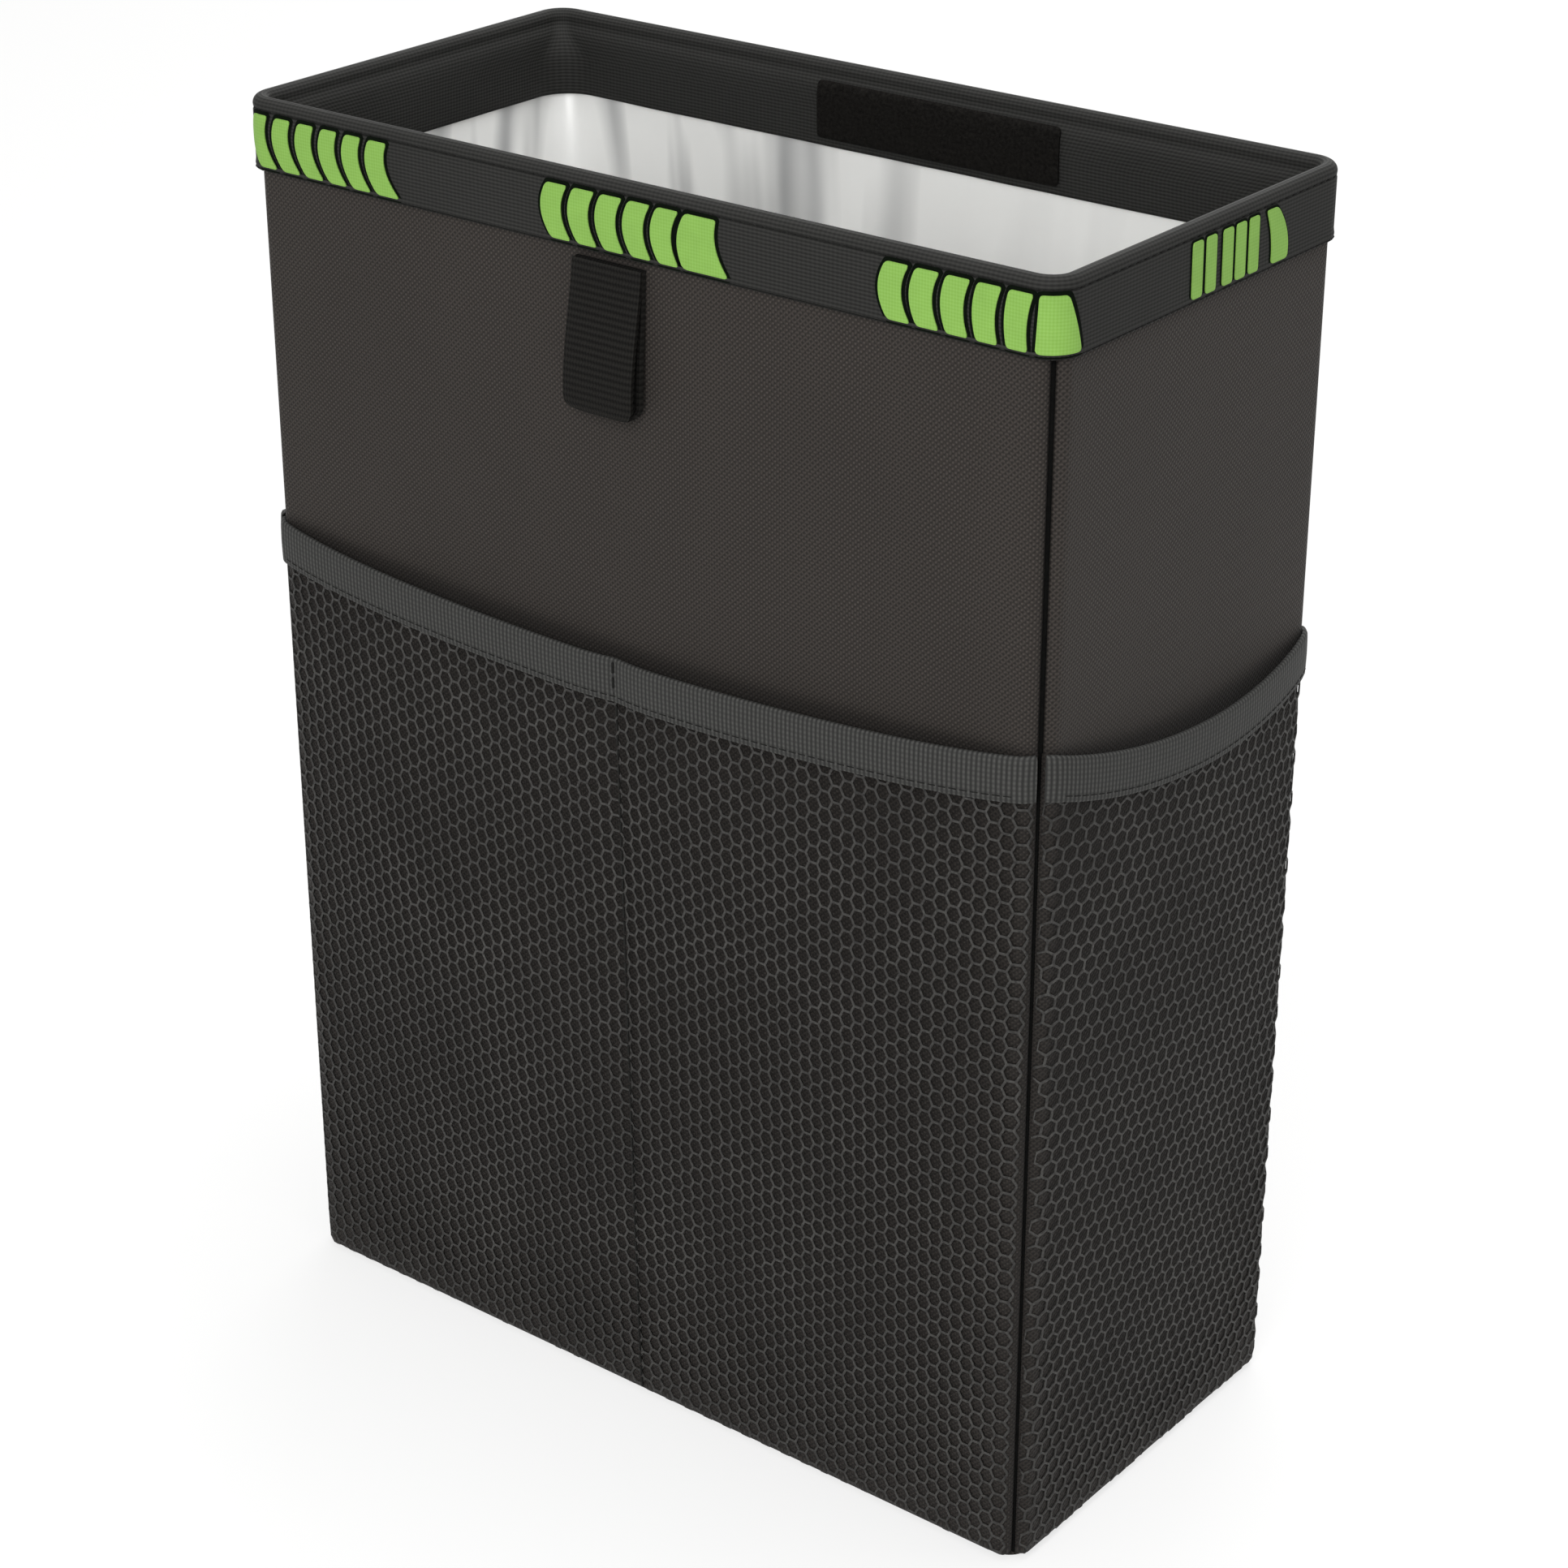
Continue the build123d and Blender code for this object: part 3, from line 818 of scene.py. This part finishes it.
# %% Finish of the net
yarn_size = 0.8 * mm
yarn_deep = 0.1 * mm
net_patch = 34 * mm
net_finish = Finish("net_yarn", roughness=0.6, shine=0.2)
yarn = net_finish.mottle(net_finish.object_place(), yarn_size)
yarn_colour = net_finish.shade(yarn, [(0.3, paint(36, 35, 34)), (0.7, paint(64, 63, 61))])
net_patches = net_finish.mottle(net_finish.object_place(), net_patch, detail=1, swirl=0.6)
net_finish.colour(net_finish.tint(yarn_colour, net_patches, 0.55, 1.5))
net_finish.bump(yarn, yarn_deep)

# %% Honeycomb
cell = 4.4 * mm


def copies(piece, count, step):
    """Repeats a piece along a step, joined to itself."""
    row = piece.modifiers.new("rows", "ARRAY")
    row.count = count
    row.use_relative_offset = False
    row.use_constant_offset = True
    row.constant_offset_displace = step
    row.use_merge_vertices = True
    row.merge_threshold = weld
    bpy.context.view_layer.objects.active = piece
    bpy.ops.object.modifier_apply(modifier=row.name)


def honeycomb(name, half, high, narrow, turn):
    """A flat sheet of cells, drawn narrow and turned, that covers two halves across and a height up."""
    reach_x = (half * cos(turn) + high / 2 * sin(turn)) / narrow
    reach_y = high / 2 * cos(turn) + half * sin(turn)
    bpy.ops.object.select_all(action="DESELECT")
    column = cell * sqrt(3)
    bpy.ops.mesh.primitive_circle_add(vertices=6, radius=cell / sqrt(3), fill_type="NGON",
                                      rotation=(0, 0, radians(30)))
    net = bpy.context.object
    net.name = name
    bpy.ops.object.transform_apply()
    copies(net, 2, (column / 2, cell / 2, 0))
    across = ceil(2 * reach_x / column) + 1
    up = ceil(2 * reach_y / cell) + 1
    copies(net, across, (column, 0, 0))
    copies(net, up, (0, cell, 0))
    middle = (-(across - 0.5) * column / 2, -(up - 0.5) * cell / 2, 0)
    net.data.transform(Matrix.Translation(middle))
    net.data.transform(Matrix.Diagonal((narrow, 1, 1, 1)))
    net.data.transform(Matrix.Translation((0, high / 2, 0)) @ Matrix.Rotation(turn, 4, "Z"))
    return net


# %% Nets
front_narrow = 0.86
side_turn = radians(22)
strand = 0.56 * mm
net_thick = 0.45 * mm
net_reach = edge_roll * radians(82)
net_cut = 3 * mm
net_tuck = 2 * mm
drift_along = 1.1 * mm
drift_up = 0.9 * mm
drifts_along = 14
drifts_up = 11


def make_net(wall):
    """One net: the honeycomb inset to strands, cut to the pocket and laid over the wall."""
    span, _, quarter = walls[wall]
    half = span / 2 - roll_back + net_reach
    narrow, turn = (front_narrow, 0) if wall == "front" else (1, side_turn)
    net = honeycomb(wall + "_pocket_net", half, net_top, narrow, turn)
    bpy.ops.object.mode_set(mode="EDIT")
    bpy.ops.mesh.select_all(action="SELECT")
    bpy.ops.mesh.inset(thickness=strand / 2, use_individual=True)
    bpy.ops.mesh.delete(type="FACE")
    bpy.ops.mesh.select_all(action="DESELECT")
    bpy.ops.object.mode_set(mode="OBJECT")
    for face in net.data.polygons:
        x, y, _ = face.center
        face.select = abs(x) > half or y < net_foot or y > pocket_edge(wall, x) - net_cut
    bpy.ops.object.mode_set(mode="EDIT")
    bpy.ops.mesh.delete(type="FACE")
    bpy.ops.object.mode_set(mode="OBJECT")
    for point in net.data.vertices:
        x, y, _ = point.co
        drift = noise.noise(Vector((x * drifts_along, y * drifts_up, quarter)))
        s = max(-half, min(half, x + drift_along * drift))
        z = max(net_foot, min(pocket_edge(wall, s) - net_tuck, y + drift_up * drift))
        point.co = along_wall(wall, s, pocket_lift(wall, s, z), z)
    thicken(net, net_thick)
    settle(net, net_finish, "net", wall + "_net", sharpest=180)


for wall in pocket_walls:
    make_net(wall)

# %% [markdown]
# A knitted binding is folded over each net's top edge. It is paler than the net and shows fine
# upright ribs. Like the rim band it is a ribbon with a drawn section, here from its outer hem over
# the fold and down behind the net.

# %% Finish of the bindings
rib_pitch = 1.25 * mm
rib_deep = 0.12 * mm
binding_finish = Finish("binding_knit", roughness=0.65, shine=0.2)
flat_place = binding_finish.cloth_place()
ribs = binding_finish.rows(flat_place, "X", rib_pitch, waver=0.3)
loops = binding_finish.rows(flat_place, "Y", rib_pitch, waver=0.6)
ribbed_loops = binding_finish.maths("MULTIPLY", ribs, loops)
knit = binding_finish.maths("MULTIPLY", binding_finish.maths("ADD", ribs, ribbed_loops), 0.5)
knit_colour = binding_finish.shade(knit, [(0.05, paint(34, 34, 33)), (0.9, paint(68, 68, 66))])
binding_finish.colour(knit_colour)
binding_finish.bump(knit, rib_deep)

# %% Bindings
binding_high = 11.5 * mm
binding_reach = edge_roll * radians(68)
binding_thick = 0.35 * mm
binding_section = [(0.45, -11.2), (0.75, -11.5), (0.95, -11.2), (1.0, -10), (1.05, -8), (1.08, -6),
                   (1.05, -4), (1.0, -2), (0.9, -0.6), (0.6, -0.05), (0.15, 0.1), (-0.3, -0.05),
                   (-0.45, -0.6), (-0.45, -3), (-0.42, -7), (-0.4, -10.8)]


def make_binding(wall):
    """One binding: a ribbon that keeps its section all along the pocket's slack edge."""
    half = walls[wall][0] / 2 - roll_back + binding_reach
    rows = len(binding_section) - 1
    piece = flat_cloth(wall + "_pocket_binding", across=150, up=rows)
    flats = [0]
    for (out, rise), (next_out, next_rise) in zip(binding_section, binding_section[1:]):
        flats.append(flats[-1] + hypot(next_out - out, next_rise - rise) * mm)

    def place(u, v):
        s = half * sin(u * pi / 2)
        row = round((v + 1) / 2 * rows)
        out, rise = binding_section[row]
        z = pocket_edge(wall, s) + rise * mm
        lift = pocket_lift(wall, s, z) + out * mm
        return along_wall(wall, s, lift, z), (cloth_run(wall, s, lift), flats[row])

    fold(piece, place)
    thicken(piece, binding_thick)
    settle(piece, binding_finish, "binding", wall + "_binding")


for wall in pocket_walls:
    make_binding(wall)

# %% [markdown]
# The loop on the front is a strip of webbing, doubled over and sewn under the band. Webbing has
# raised ribs across it, so the ribs are modelled in the strip itself. Its path starts behind, goes
# down the wall, turns in a round fold and comes back up in front.

# %% Finish of the webbing
webbing_rib = 1.6 * mm
webbing_yarn = 0.9 * mm
yarn_share = 0.6
webbing_deep = 0.12 * mm
webbing = Finish("webbing", roughness=0.8, shine=0.1)
flat_place = webbing.cloth_place()
ribs = webbing.rows(flat_place, "Y", webbing_rib, waver=0.2)
yarns = webbing.rows(flat_place, "X", webbing_yarn, waver=0.5)
ribs_and_yarns = webbing.maths("ADD", ribs, webbing.maths("MULTIPLY", yarns, yarn_share))
ribbed = webbing.maths("MULTIPLY", ribs_and_yarns, 0.6)
webbing.colour(webbing.shade(ribbed, [(0.1, paint(10, 9, 8)), (0.9, paint(30, 29, 27))]))
webbing.bump(yarns, webbing_deep)

# %% Path of the webbing
loop_wide = 21 * mm
loop_low, loop_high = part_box("front_loop")
loop_ply = 1.2 * mm
fold_radius = 2.5 * mm
fold_out = 3.9 * mm
fold_z = loop_low.z + fold_radius
back_out = 0.1 * mm
back_straight = 14 * mm
front_out = 2.4 * mm
front_swell = 0.4 * mm
front_lean = 0.5 * mm
swell_high = 12 * mm
lean_high = 9 * mm


def loop_path(steps):
    """The strip's outer line as (out, z): down the back, round the fold, up the front."""
    behind = fold_out - fold_radius
    before = fold_out + fold_radius
    down = [Vector((back_out, loop_high.z)), Vector((back_out, loop_high.z - back_straight)),
            Vector((behind, fold_z + back_straight)), Vector((behind, fold_z))]
    up = [Vector((before, fold_z)), Vector((before + front_swell, fold_z + swell_high)),
          Vector((front_out + front_lean, loop_high.z - lean_high)),
          Vector((front_out, loop_high.z))]
    line = []
    for a, b, c, d in (down, up):
        for k in range(steps + 1):
            t = k / steps
            line.append(a * (1 - t) ** 3 + b * 3 * t * (1 - t) ** 2
                        + c * 3 * t * t * (1 - t) + d * t ** 3)
        if a is down[0]:
            for k in range(1, steps // 3):
                angle = pi + pi * k / (steps // 3)
                spoke = fold_radius * Vector((cos(angle), sin(angle)))
                line.append(Vector((fold_out, fold_z)) + spoke)
    return line


loop_line = loop_path(steps=120)
loop_run = [0]
for spot, after in zip(loop_line, loop_line[1:]):
    loop_run.append(loop_run[-1] + (after - spot).length)
loop_rows = len(loop_line) - 1
print("webbing is", round(loop_run[-1] / mm), "mm long")

# %% Webbing loop
rib_height = 0.16 * mm
edge_drop = 0.2 * mm
fold_corner = 4 * mm
most_rounded = 0.97


def loop_place(u, v):
    """A point of the strip, with its raised ribs and the round corners of its fold."""
    row = round((v + 1) / 2 * loop_rows)
    before = loop_line[max(0, row - 1)]
    after = loop_line[min(loop_rows, row + 1)]
    along = (after - before).normalized()
    outward = Vector((along.y, -along.x))
    edge = max(0, 1 - abs(u) ** 12)
    rib = rib_height * sin(2 * pi * loop_run[row] / webbing_rib) * edge
    spot = loop_line[row] + outward * (rib - edge_drop * abs(u) ** 10)
    lift = wall_swell("front", 0, spot.y) + max(0, spot.x)
    near_fold = min(1, max(0, 1 - (spot.y - loop_low.z) / fold_corner)) * most_rounded
    draw_in = fold_corner * (1 - sqrt(1 - near_fold ** 2))
    x = (loop_low.x + loop_high.x) / 2 + u * (loop_wide / 2 - draw_in)
    return Vector((x, -half_depth - lift, spot.y)), (u * loop_wide / 2, loop_run[row])


loop = flat_cloth("webbing_loop", across=28, up=loop_rows)
fold(loop, loop_place)
thicken(loop, loop_ply)
settle(loop, webbing, "webbing", "front_loop")

# %% [markdown]
# A patch of loop pile is sewn to the facing at the back, where a matching hook strip can hold. Pile
# has no threads to see: it is a near-black, uneven nap. The sheet gets a fine uneven surface and a
# finish of small tufts that swallow light.

# %% Finish of the pile
tuft_size = 0.9 * mm
tuft_high = 0.5 * mm
pile = Finish("loop_pile", roughness=0.95, shine=0.05)
tufts = pile.speckle(tuft_size, paint(12, 11, 10), paint(28, 27, 25), detail=3, light_from=0.75)
pile.bump(tufts, tuft_high)

# %% Loop pile patch
patch_low, patch_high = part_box("loop_patch")
patch_half_x = (patch_high.x - patch_low.x) / 2
patch_half_z = (patch_high.z - patch_low.z) / 2
patch_thick = 1 * mm
patch_gap = 0.1 * mm
patch_corner = 1.2 * mm
patch_edge = 0.9
patch_worn = 0.35 * mm
nap_high = 0.14 * mm
nap_rate = 900


def facing_at(z):
    """How far out the facing lies at a height, read off the band's section."""
    facing = section[facing_start:]
    for (out, high), (next_out, low) in zip(facing, facing[1:]):
        if low <= z <= high:
            return out + (next_out - out) * (high - z) / (high - low)
    return facing_out * mm


def patch_place(u, v):
    """A point of the patch, on the facing, with an uneven nap and thin edges."""
    x, z = rounded(u, v, patch_half_x, patch_half_z, patch_corner)
    edge = max(abs(u), abs(v))
    nap = nap_high * noise.noise(Vector((x * nap_rate, z * nap_rate, 4)))
    nap -= patch_worn * max(0, (edge - patch_edge) / (1 - patch_edge)) ** 2
    height = z + (patch_low.z + patch_high.z) / 2
    y = half_depth + facing_at(height) - patch_gap - patch_thick - nap
    return Vector((x + (patch_low.x + patch_high.x) / 2, y, height)), (x, z)


patch = flat_cloth("loop_pile_patch", across=150, up=32)
fold(patch, patch_place)
thicken(patch, patch_thick)
settle(patch, pile, "loop_pile", "loop_patch")

# %% [markdown]
# The chevrons are printed on the band in green, each with a dark outline. They could be painted
# into the band's material, but a thick print stands up from the cloth and catches light on its
# edge, so each tile is a small soft plate that follows the band, also round the corner. The outline
# is a slightly larger, thinner plate under it.

# %% Finish of the print
screen_pitch = 0.8 * mm
screen_deep = 0.02 * mm
worn_patch = 5 * mm
speckle_size = 2 * mm
green_print = Finish("green_print", roughness=0.55)
flat_place = green_print.cloth_place()
columns = green_print.rows(flat_place, "X", screen_pitch, waver=0.4)
lines = green_print.rows(flat_place, "Y", screen_pitch, waver=0.4)
screen = green_print.maths("MULTIPLY", green_print.maths("ADD", columns, lines), 0.5)
green = green_print.shade(screen, [(0.1, paint(118, 161, 70)), (0.9, paint(130, 170, 83))])
worn = green_print.mottle(green_print.object_place(), worn_patch, detail=4)
green_print.colour(green_print.tint(green, worn, 0.9, 1.08))
green_print.bump(screen, screen_deep)
dark_print = Finish("dark_print", roughness=0.8, shine=0.05)
dark_print.speckle(speckle_size, paint(2, 7, 2), paint(6, 12, 5), detail=3)

# %% One chevron tile
tile_high = 13.2 * mm
tile_drop = 3.9 * mm
tile_mid = rim_top - tile_drop - tile_high / 2
tile_round = 0.8 * mm
print_out = 1.13 * mm
print_thick = 0.25 * mm
outline_wide = 0.9 * mm
outline_thick = 0.1 * mm


def on_band(quarter, s, out, z):
    """A point on the band's outer face, s along a wall from its middle, carried round the corner."""
    length, reach = (half_depth, half_width) if quarter % 2 else (half_width, half_depth)
    corner = rim_corner + out - band_face
    run = length + out - corner
    past = max(0, abs(s) - run)
    angle = past / corner
    x = (min(abs(s), run) + corner * sin(angle)) * (1 if s > 0 else -1)
    return turned(quarter, x, corner * (1 - cos(angle)) - reach - out, z)


def make_tile(name, quarter, left, right, margin, out, thick):
    """One tile between two edges. An edge is (top, foot, bow): its ends and its middle's bow."""
    tile = flat_cloth(name, across=12, up=16)
    half_x = (right[0] - left[0]) / 2 * mm + margin
    half_z = tile_high / 2 + margin

    def edge(line, height_share):
        top, foot, bow = line
        slant = (foot - top) * (1 - height_share) / 2
        return (top + slant + bow * (1 - height_share ** 2)) * mm

    def place(u, v):
        x, z = rounded(u, v, half_x, half_z, tile_round + margin / 2)
        height_share = max(-1, min(1, z / (tile_high / 2)))
        share = (x / half_x + 1) / 2
        start = edge(left, height_share) - margin
        end = edge(right, height_share) + margin
        s = start * (1 - share) + end * share
        return on_band(quarter, s, out + thick, tile_mid + z), (s, z)

    fold(tile, place)
    thicken(tile, thick)
    return tile


# %% Tiles joined to a group
def joined(name, parts):
    """Several pieces made one."""
    bpy.ops.object.select_all(action="DESELECT")
    for part in parts:
        part.select_set(True)
    bpy.context.view_layer.objects.active = parts[0]
    bpy.ops.object.join()
    parts[0].name = name
    return parts[0]


def print_group(node, quarter, tiles, margin=outline_wide):
    """The tiles of one group as one piece, and their dark outlines."""
    plates = [make_tile("tile", quarter, *tile, 0, print_out + outline_thick, print_thick)
              for tile in tiles]
    outlines = [make_tile("outline", quarter, *tile, margin, print_out, outline_thick)
                for tile in tiles]
    settle(joined(node + "_print", plates), green_print, "green_print", node)
    settle(joined(node + "_outline", outlines), dark_print, "band_cloth")


# %% [markdown]
# On the long walls each tile is bowed like an opening bracket, and each group ends in a wider tile.
# Towards the near corner the bow fades and the last tile wraps round. On the short walls the group
# is two bars, three bars and one tile that bows the other way; the bars stand close, so their
# outlines are narrower. Each tile is written as its two edges: top, foot and bow, in mm along the
# wall.

# %% Chevron groups
tiles_in_group = 6


def bowed_row(start, step, wide, lean, bow, last):
    """Tiles bowed like brackets; lean and bow run from a first value to a last one along the row."""
    tiles = []
    for k in range(tiles_in_group - 1):
        share = k / (tiles_in_group - 1)
        left_lean, right_lean = (first + (final - first) * share for first, final in lean)
        bend = bow[0] + (bow[1] - bow[0]) * share
        top = start + k * step
        tiles.append(((top, top + left_lean, -bend), (top + wide, top + wide + right_lean, -bend)))
    return tiles + [last]


bars = [-8.6, -2.9, 4.1, 9.6, 15.2]
bar_wide = 4.2
bar_outline = 0.6 * mm
bar_lean = 0.3
bar_tiles = [((start, start + bar_lean, 0), (start + bar_wide, start + bar_wide + bar_lean, 0))
             for start in bars]
bar_tiles.append(((22.6, 25.4, 1.0), (27.4, 32.4, 1.9)))
for name, quarter in [("front", 0), ("back", 2)]:
    print_group("chevrons_" + name + "_left", quarter,
                bowed_row(start=-118.4, step=8.0, wide=5.2, lean=[(2.1, 2.1), (2.8, 2.8)],
                          bow=(2.4, 2.5), last=((-78.6, -76.3, -2.5), (-72.7, -68.9, -2.7))))
    print_group("chevrons_" + name + "_middle", quarter,
                bowed_row(start=-21.3, step=8.4, wide=6.4, lean=[(1.2, 0.2), (0.8, -0.4)],
                          bow=(2.5, 2.3), last=((20.5, 19.9, -2.1), (29.6, 33.2, -2.0))))
    print_group("chevrons_" + name + "_right", quarter,
                bowed_row(start=77.2, step=8.2, wide=6.3, lean=[(0.6, -0.6), (0.5, -1.7)],
                          bow=(2.3, 0.6), last=((117.6, 116.9, 0), (124.2, 128.3, 0.3))))
for name, quarter in [("right", 1), ("left", 3)]:
    print_group("chevrons_" + name, quarter, bar_tiles, bar_outline)

# %% [markdown]
# Sewing holds it all together. A lockstitch is a row of short, slightly sunk threads. One stitch is
# modelled as a small rounded cylinder, then copied along each seam: the groove under the roll, the
# band's lower hem, the lower hem of each binding, and the seam that divides the front pocket. On the
# band's hem the stitches nearly touch, so they make one dark line that is also painted shadow, for
# the thin shadow under the hem.

# %% Finish of the thread
twist_size = 0.6 * mm
thread_finish = Finish("thread", roughness=0.65)
thread_finish.speckle(twist_size, paint(12, 12, 11), paint(26, 26, 24))

# %% One stitch
stitch_round = 0.2


def one_stitch(length, thick):
    """A stitch that lies along X: a cylinder whose ends are drawn in."""
    bpy.ops.object.select_all(action="DESELECT")
    bpy.ops.mesh.primitive_cylinder_add(vertices=6, radius=thick / 2, depth=length,
                                        rotation=(0, radians(90), 0))
    stitch = bpy.context.object
    bpy.ops.object.transform_apply()
    bpy.ops.object.mode_set(mode="EDIT")
    bpy.ops.mesh.select_all(action="SELECT")
    bpy.ops.mesh.bevel(offset=thick * stitch_round, segments=1)
    bpy.ops.object.mode_set(mode="OBJECT")
    return stitch


# %% A row of stitches
def sew(name, line, pitch, thick, closed=False, filled=0.72):
    """A row of stitches along a line of points. Each fills this share of the pitch."""
    ends = line + line[:1] if closed else line
    stitch = one_stitch(pitch * filled, thick)
    row = []
    carried = pitch / 2
    for start, end in zip(ends, ends[1:]):
        step = (end - start).length
        while carried < step:
            along = (end - start).normalized()
            copy = stitch.copy()
            copy.data = stitch.data.copy()
            turn = Vector((1, 0, 0)).rotation_difference(along).to_matrix().to_4x4()
            copy.data.transform(Matrix.Translation(start.lerp(end, carried / step)) @ turn)
            bpy.context.collection.objects.link(copy)
            row.append(copy)
            carried += pitch
        carried -= step
    bpy.data.objects.remove(stitch)
    count = len(row)
    settle(joined(name, row), thread_finish, "band_cloth")
    print(name, "has", count, "stitches")


# %% Stitches round the band
rim_stitch_out = 0.8 * mm
hem_stitch_out = 1.05 * mm
hem_stitch_drop = 0.1 * mm
sewn_round = mouth_stations(long_steps=40, short_steps=20, bend_steps=8)
rim_line = [mouth_point(station, rim_stitch_out, groove_z) for station in sewn_round]
sew("rim_stitches", rim_line, pitch=3.1 * mm, thick=0.4 * mm, closed=True)
# Painted shadow in part: the hem's stitches nearly touch, one dark line under the hem for its shadow.
hem_z = band_low - hem_stitch_drop
hem_line = [mouth_point(station, hem_stitch_out, hem_z) for station in sewn_round]
sew("band_hem_stitches_and_shadow", hem_line, pitch=2.4 * mm, thick=0.5 * mm, closed=True, filled=0.98)

# %% Stitches of the pockets
hem_up = 1.6 * mm
hem_out = 1.05 * mm
hem_steps = 30
for wall in pocket_walls:
    half = walls[wall][0] / 2 - roll_back
    hem = []
    for k in range(2 * hem_steps + 1):
        s = half * (k / hem_steps - 1)
        z = pocket_edge(wall, s) - binding_high + hem_up
        hem.append(along_wall(wall, s, pocket_lift(wall, s, z) + hem_out, z))
    sew(wall + "_binding_stitches", hem, pitch=2.8 * mm, thick=0.34 * mm)
divider_low = 2 * mm
divider_short = 3 * mm
divider_out = 0.3 * mm
over_binding = 1.0 * mm
divider_steps = 40
divider = []
for k in range(divider_steps + 1):
    z = divider_low + (pocket_edge("front", 0) - divider_short) * k / divider_steps
    out = divider_out + (over_binding if k > divider_steps - 2 else 0)
    divider.append(along_wall("front", 0, pocket_lift("front", 0, z) + out, z))
sew("pocket_seam_stitches", divider, pitch=4 * mm, thick=0.7 * mm)

# %% [markdown]
# Two rolled edges meet in each corner, and the thread that joins them lies deep between them as one
# dark line. The thread is near black and also stands for the shade deep in the groove, so its colour
# is partly painted shade. It is shaped like one long upright stitch, just deep enough in the groove
# to touch both rolls. Below the bindings the nets close the groove and less of it shows, so the
# thread is thinner there.

# %% Corner seams
seam_thick = 1.3 * mm
net_seam_thick = 0.85 * mm
seam_twist = 0.8 * mm
# Painted shade in part: this near-black thread finish stands for the dark shade in the corner groove.
black_thread_and_groove_shade = Finish("seam_shade_thread", roughness=0.9, shine=0.05)
black_thread_and_groove_shade.speckle(seam_twist, paint(5, 5, 5), paint(11, 11, 10))
rolls_touch = edge_roll * (1 + sqrt(0.5))
seam_low = 2 * mm
seam_high = band_low + 2 * mm
seam_lengths = [(seam_low, net_top, net_seam_thick), (net_top, seam_high, seam_thick)]
seams = []
for side_x in (1, -1):
    for side_y in (1, -1):
        for low, high, thick in seam_lengths:
            deep = rolls_touch - sqrt(((edge_roll + thick / 2) ** 2 - edge_roll ** 2) / 2)
            place = (side_x * (half_width - deep), side_y * (half_depth - deep), (low + high) / 2)
            seam = one_stitch(high - low, thick)
            seam.data.transform(Matrix.Translation(place) @ Matrix.Rotation(radians(90), 4, "Y"))
            seams.append(seam)
settle(joined("corner_seam_shade_threads", seams), black_thread_and_groove_shade, "band_cloth")

# %% [markdown]
# Inside the cloth, the boards and the wire keep their CAD shape. They show only where a pocket or
# seam gapes, but they still get a finish: dark board with pressed fibres, and drawn steel wire.

# %% Boards and wire
fibre_size = 3 * mm
fibre_deep = 0.1 * mm
drawn_size = 1.5 * mm
board_finish = Finish("pressed_board", roughness=0.85)
fibres = board_finish.speckle(fibre_size, paint(54, 54, 53), paint(72, 72, 71), detail=5)
board_finish.bump(fibres, fibre_deep)
wire_finish = Finish("drawn_wire", roughness=0.35, metallic=1.0)
wire_finish.speckle(drawn_size, paint(184, 184, 186), paint(202, 202, 204), detail=3)
hidden = {"rim_wire": wire_finish}
hidden.update({part + "_board": board_finish for part in [*walls, "base"]})
for node, finish in hidden.items():
    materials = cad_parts[node].data.materials
    materials.clear()
    materials.append(finish.material)
print("finished inside the cloth:", ", ".join(hidden))
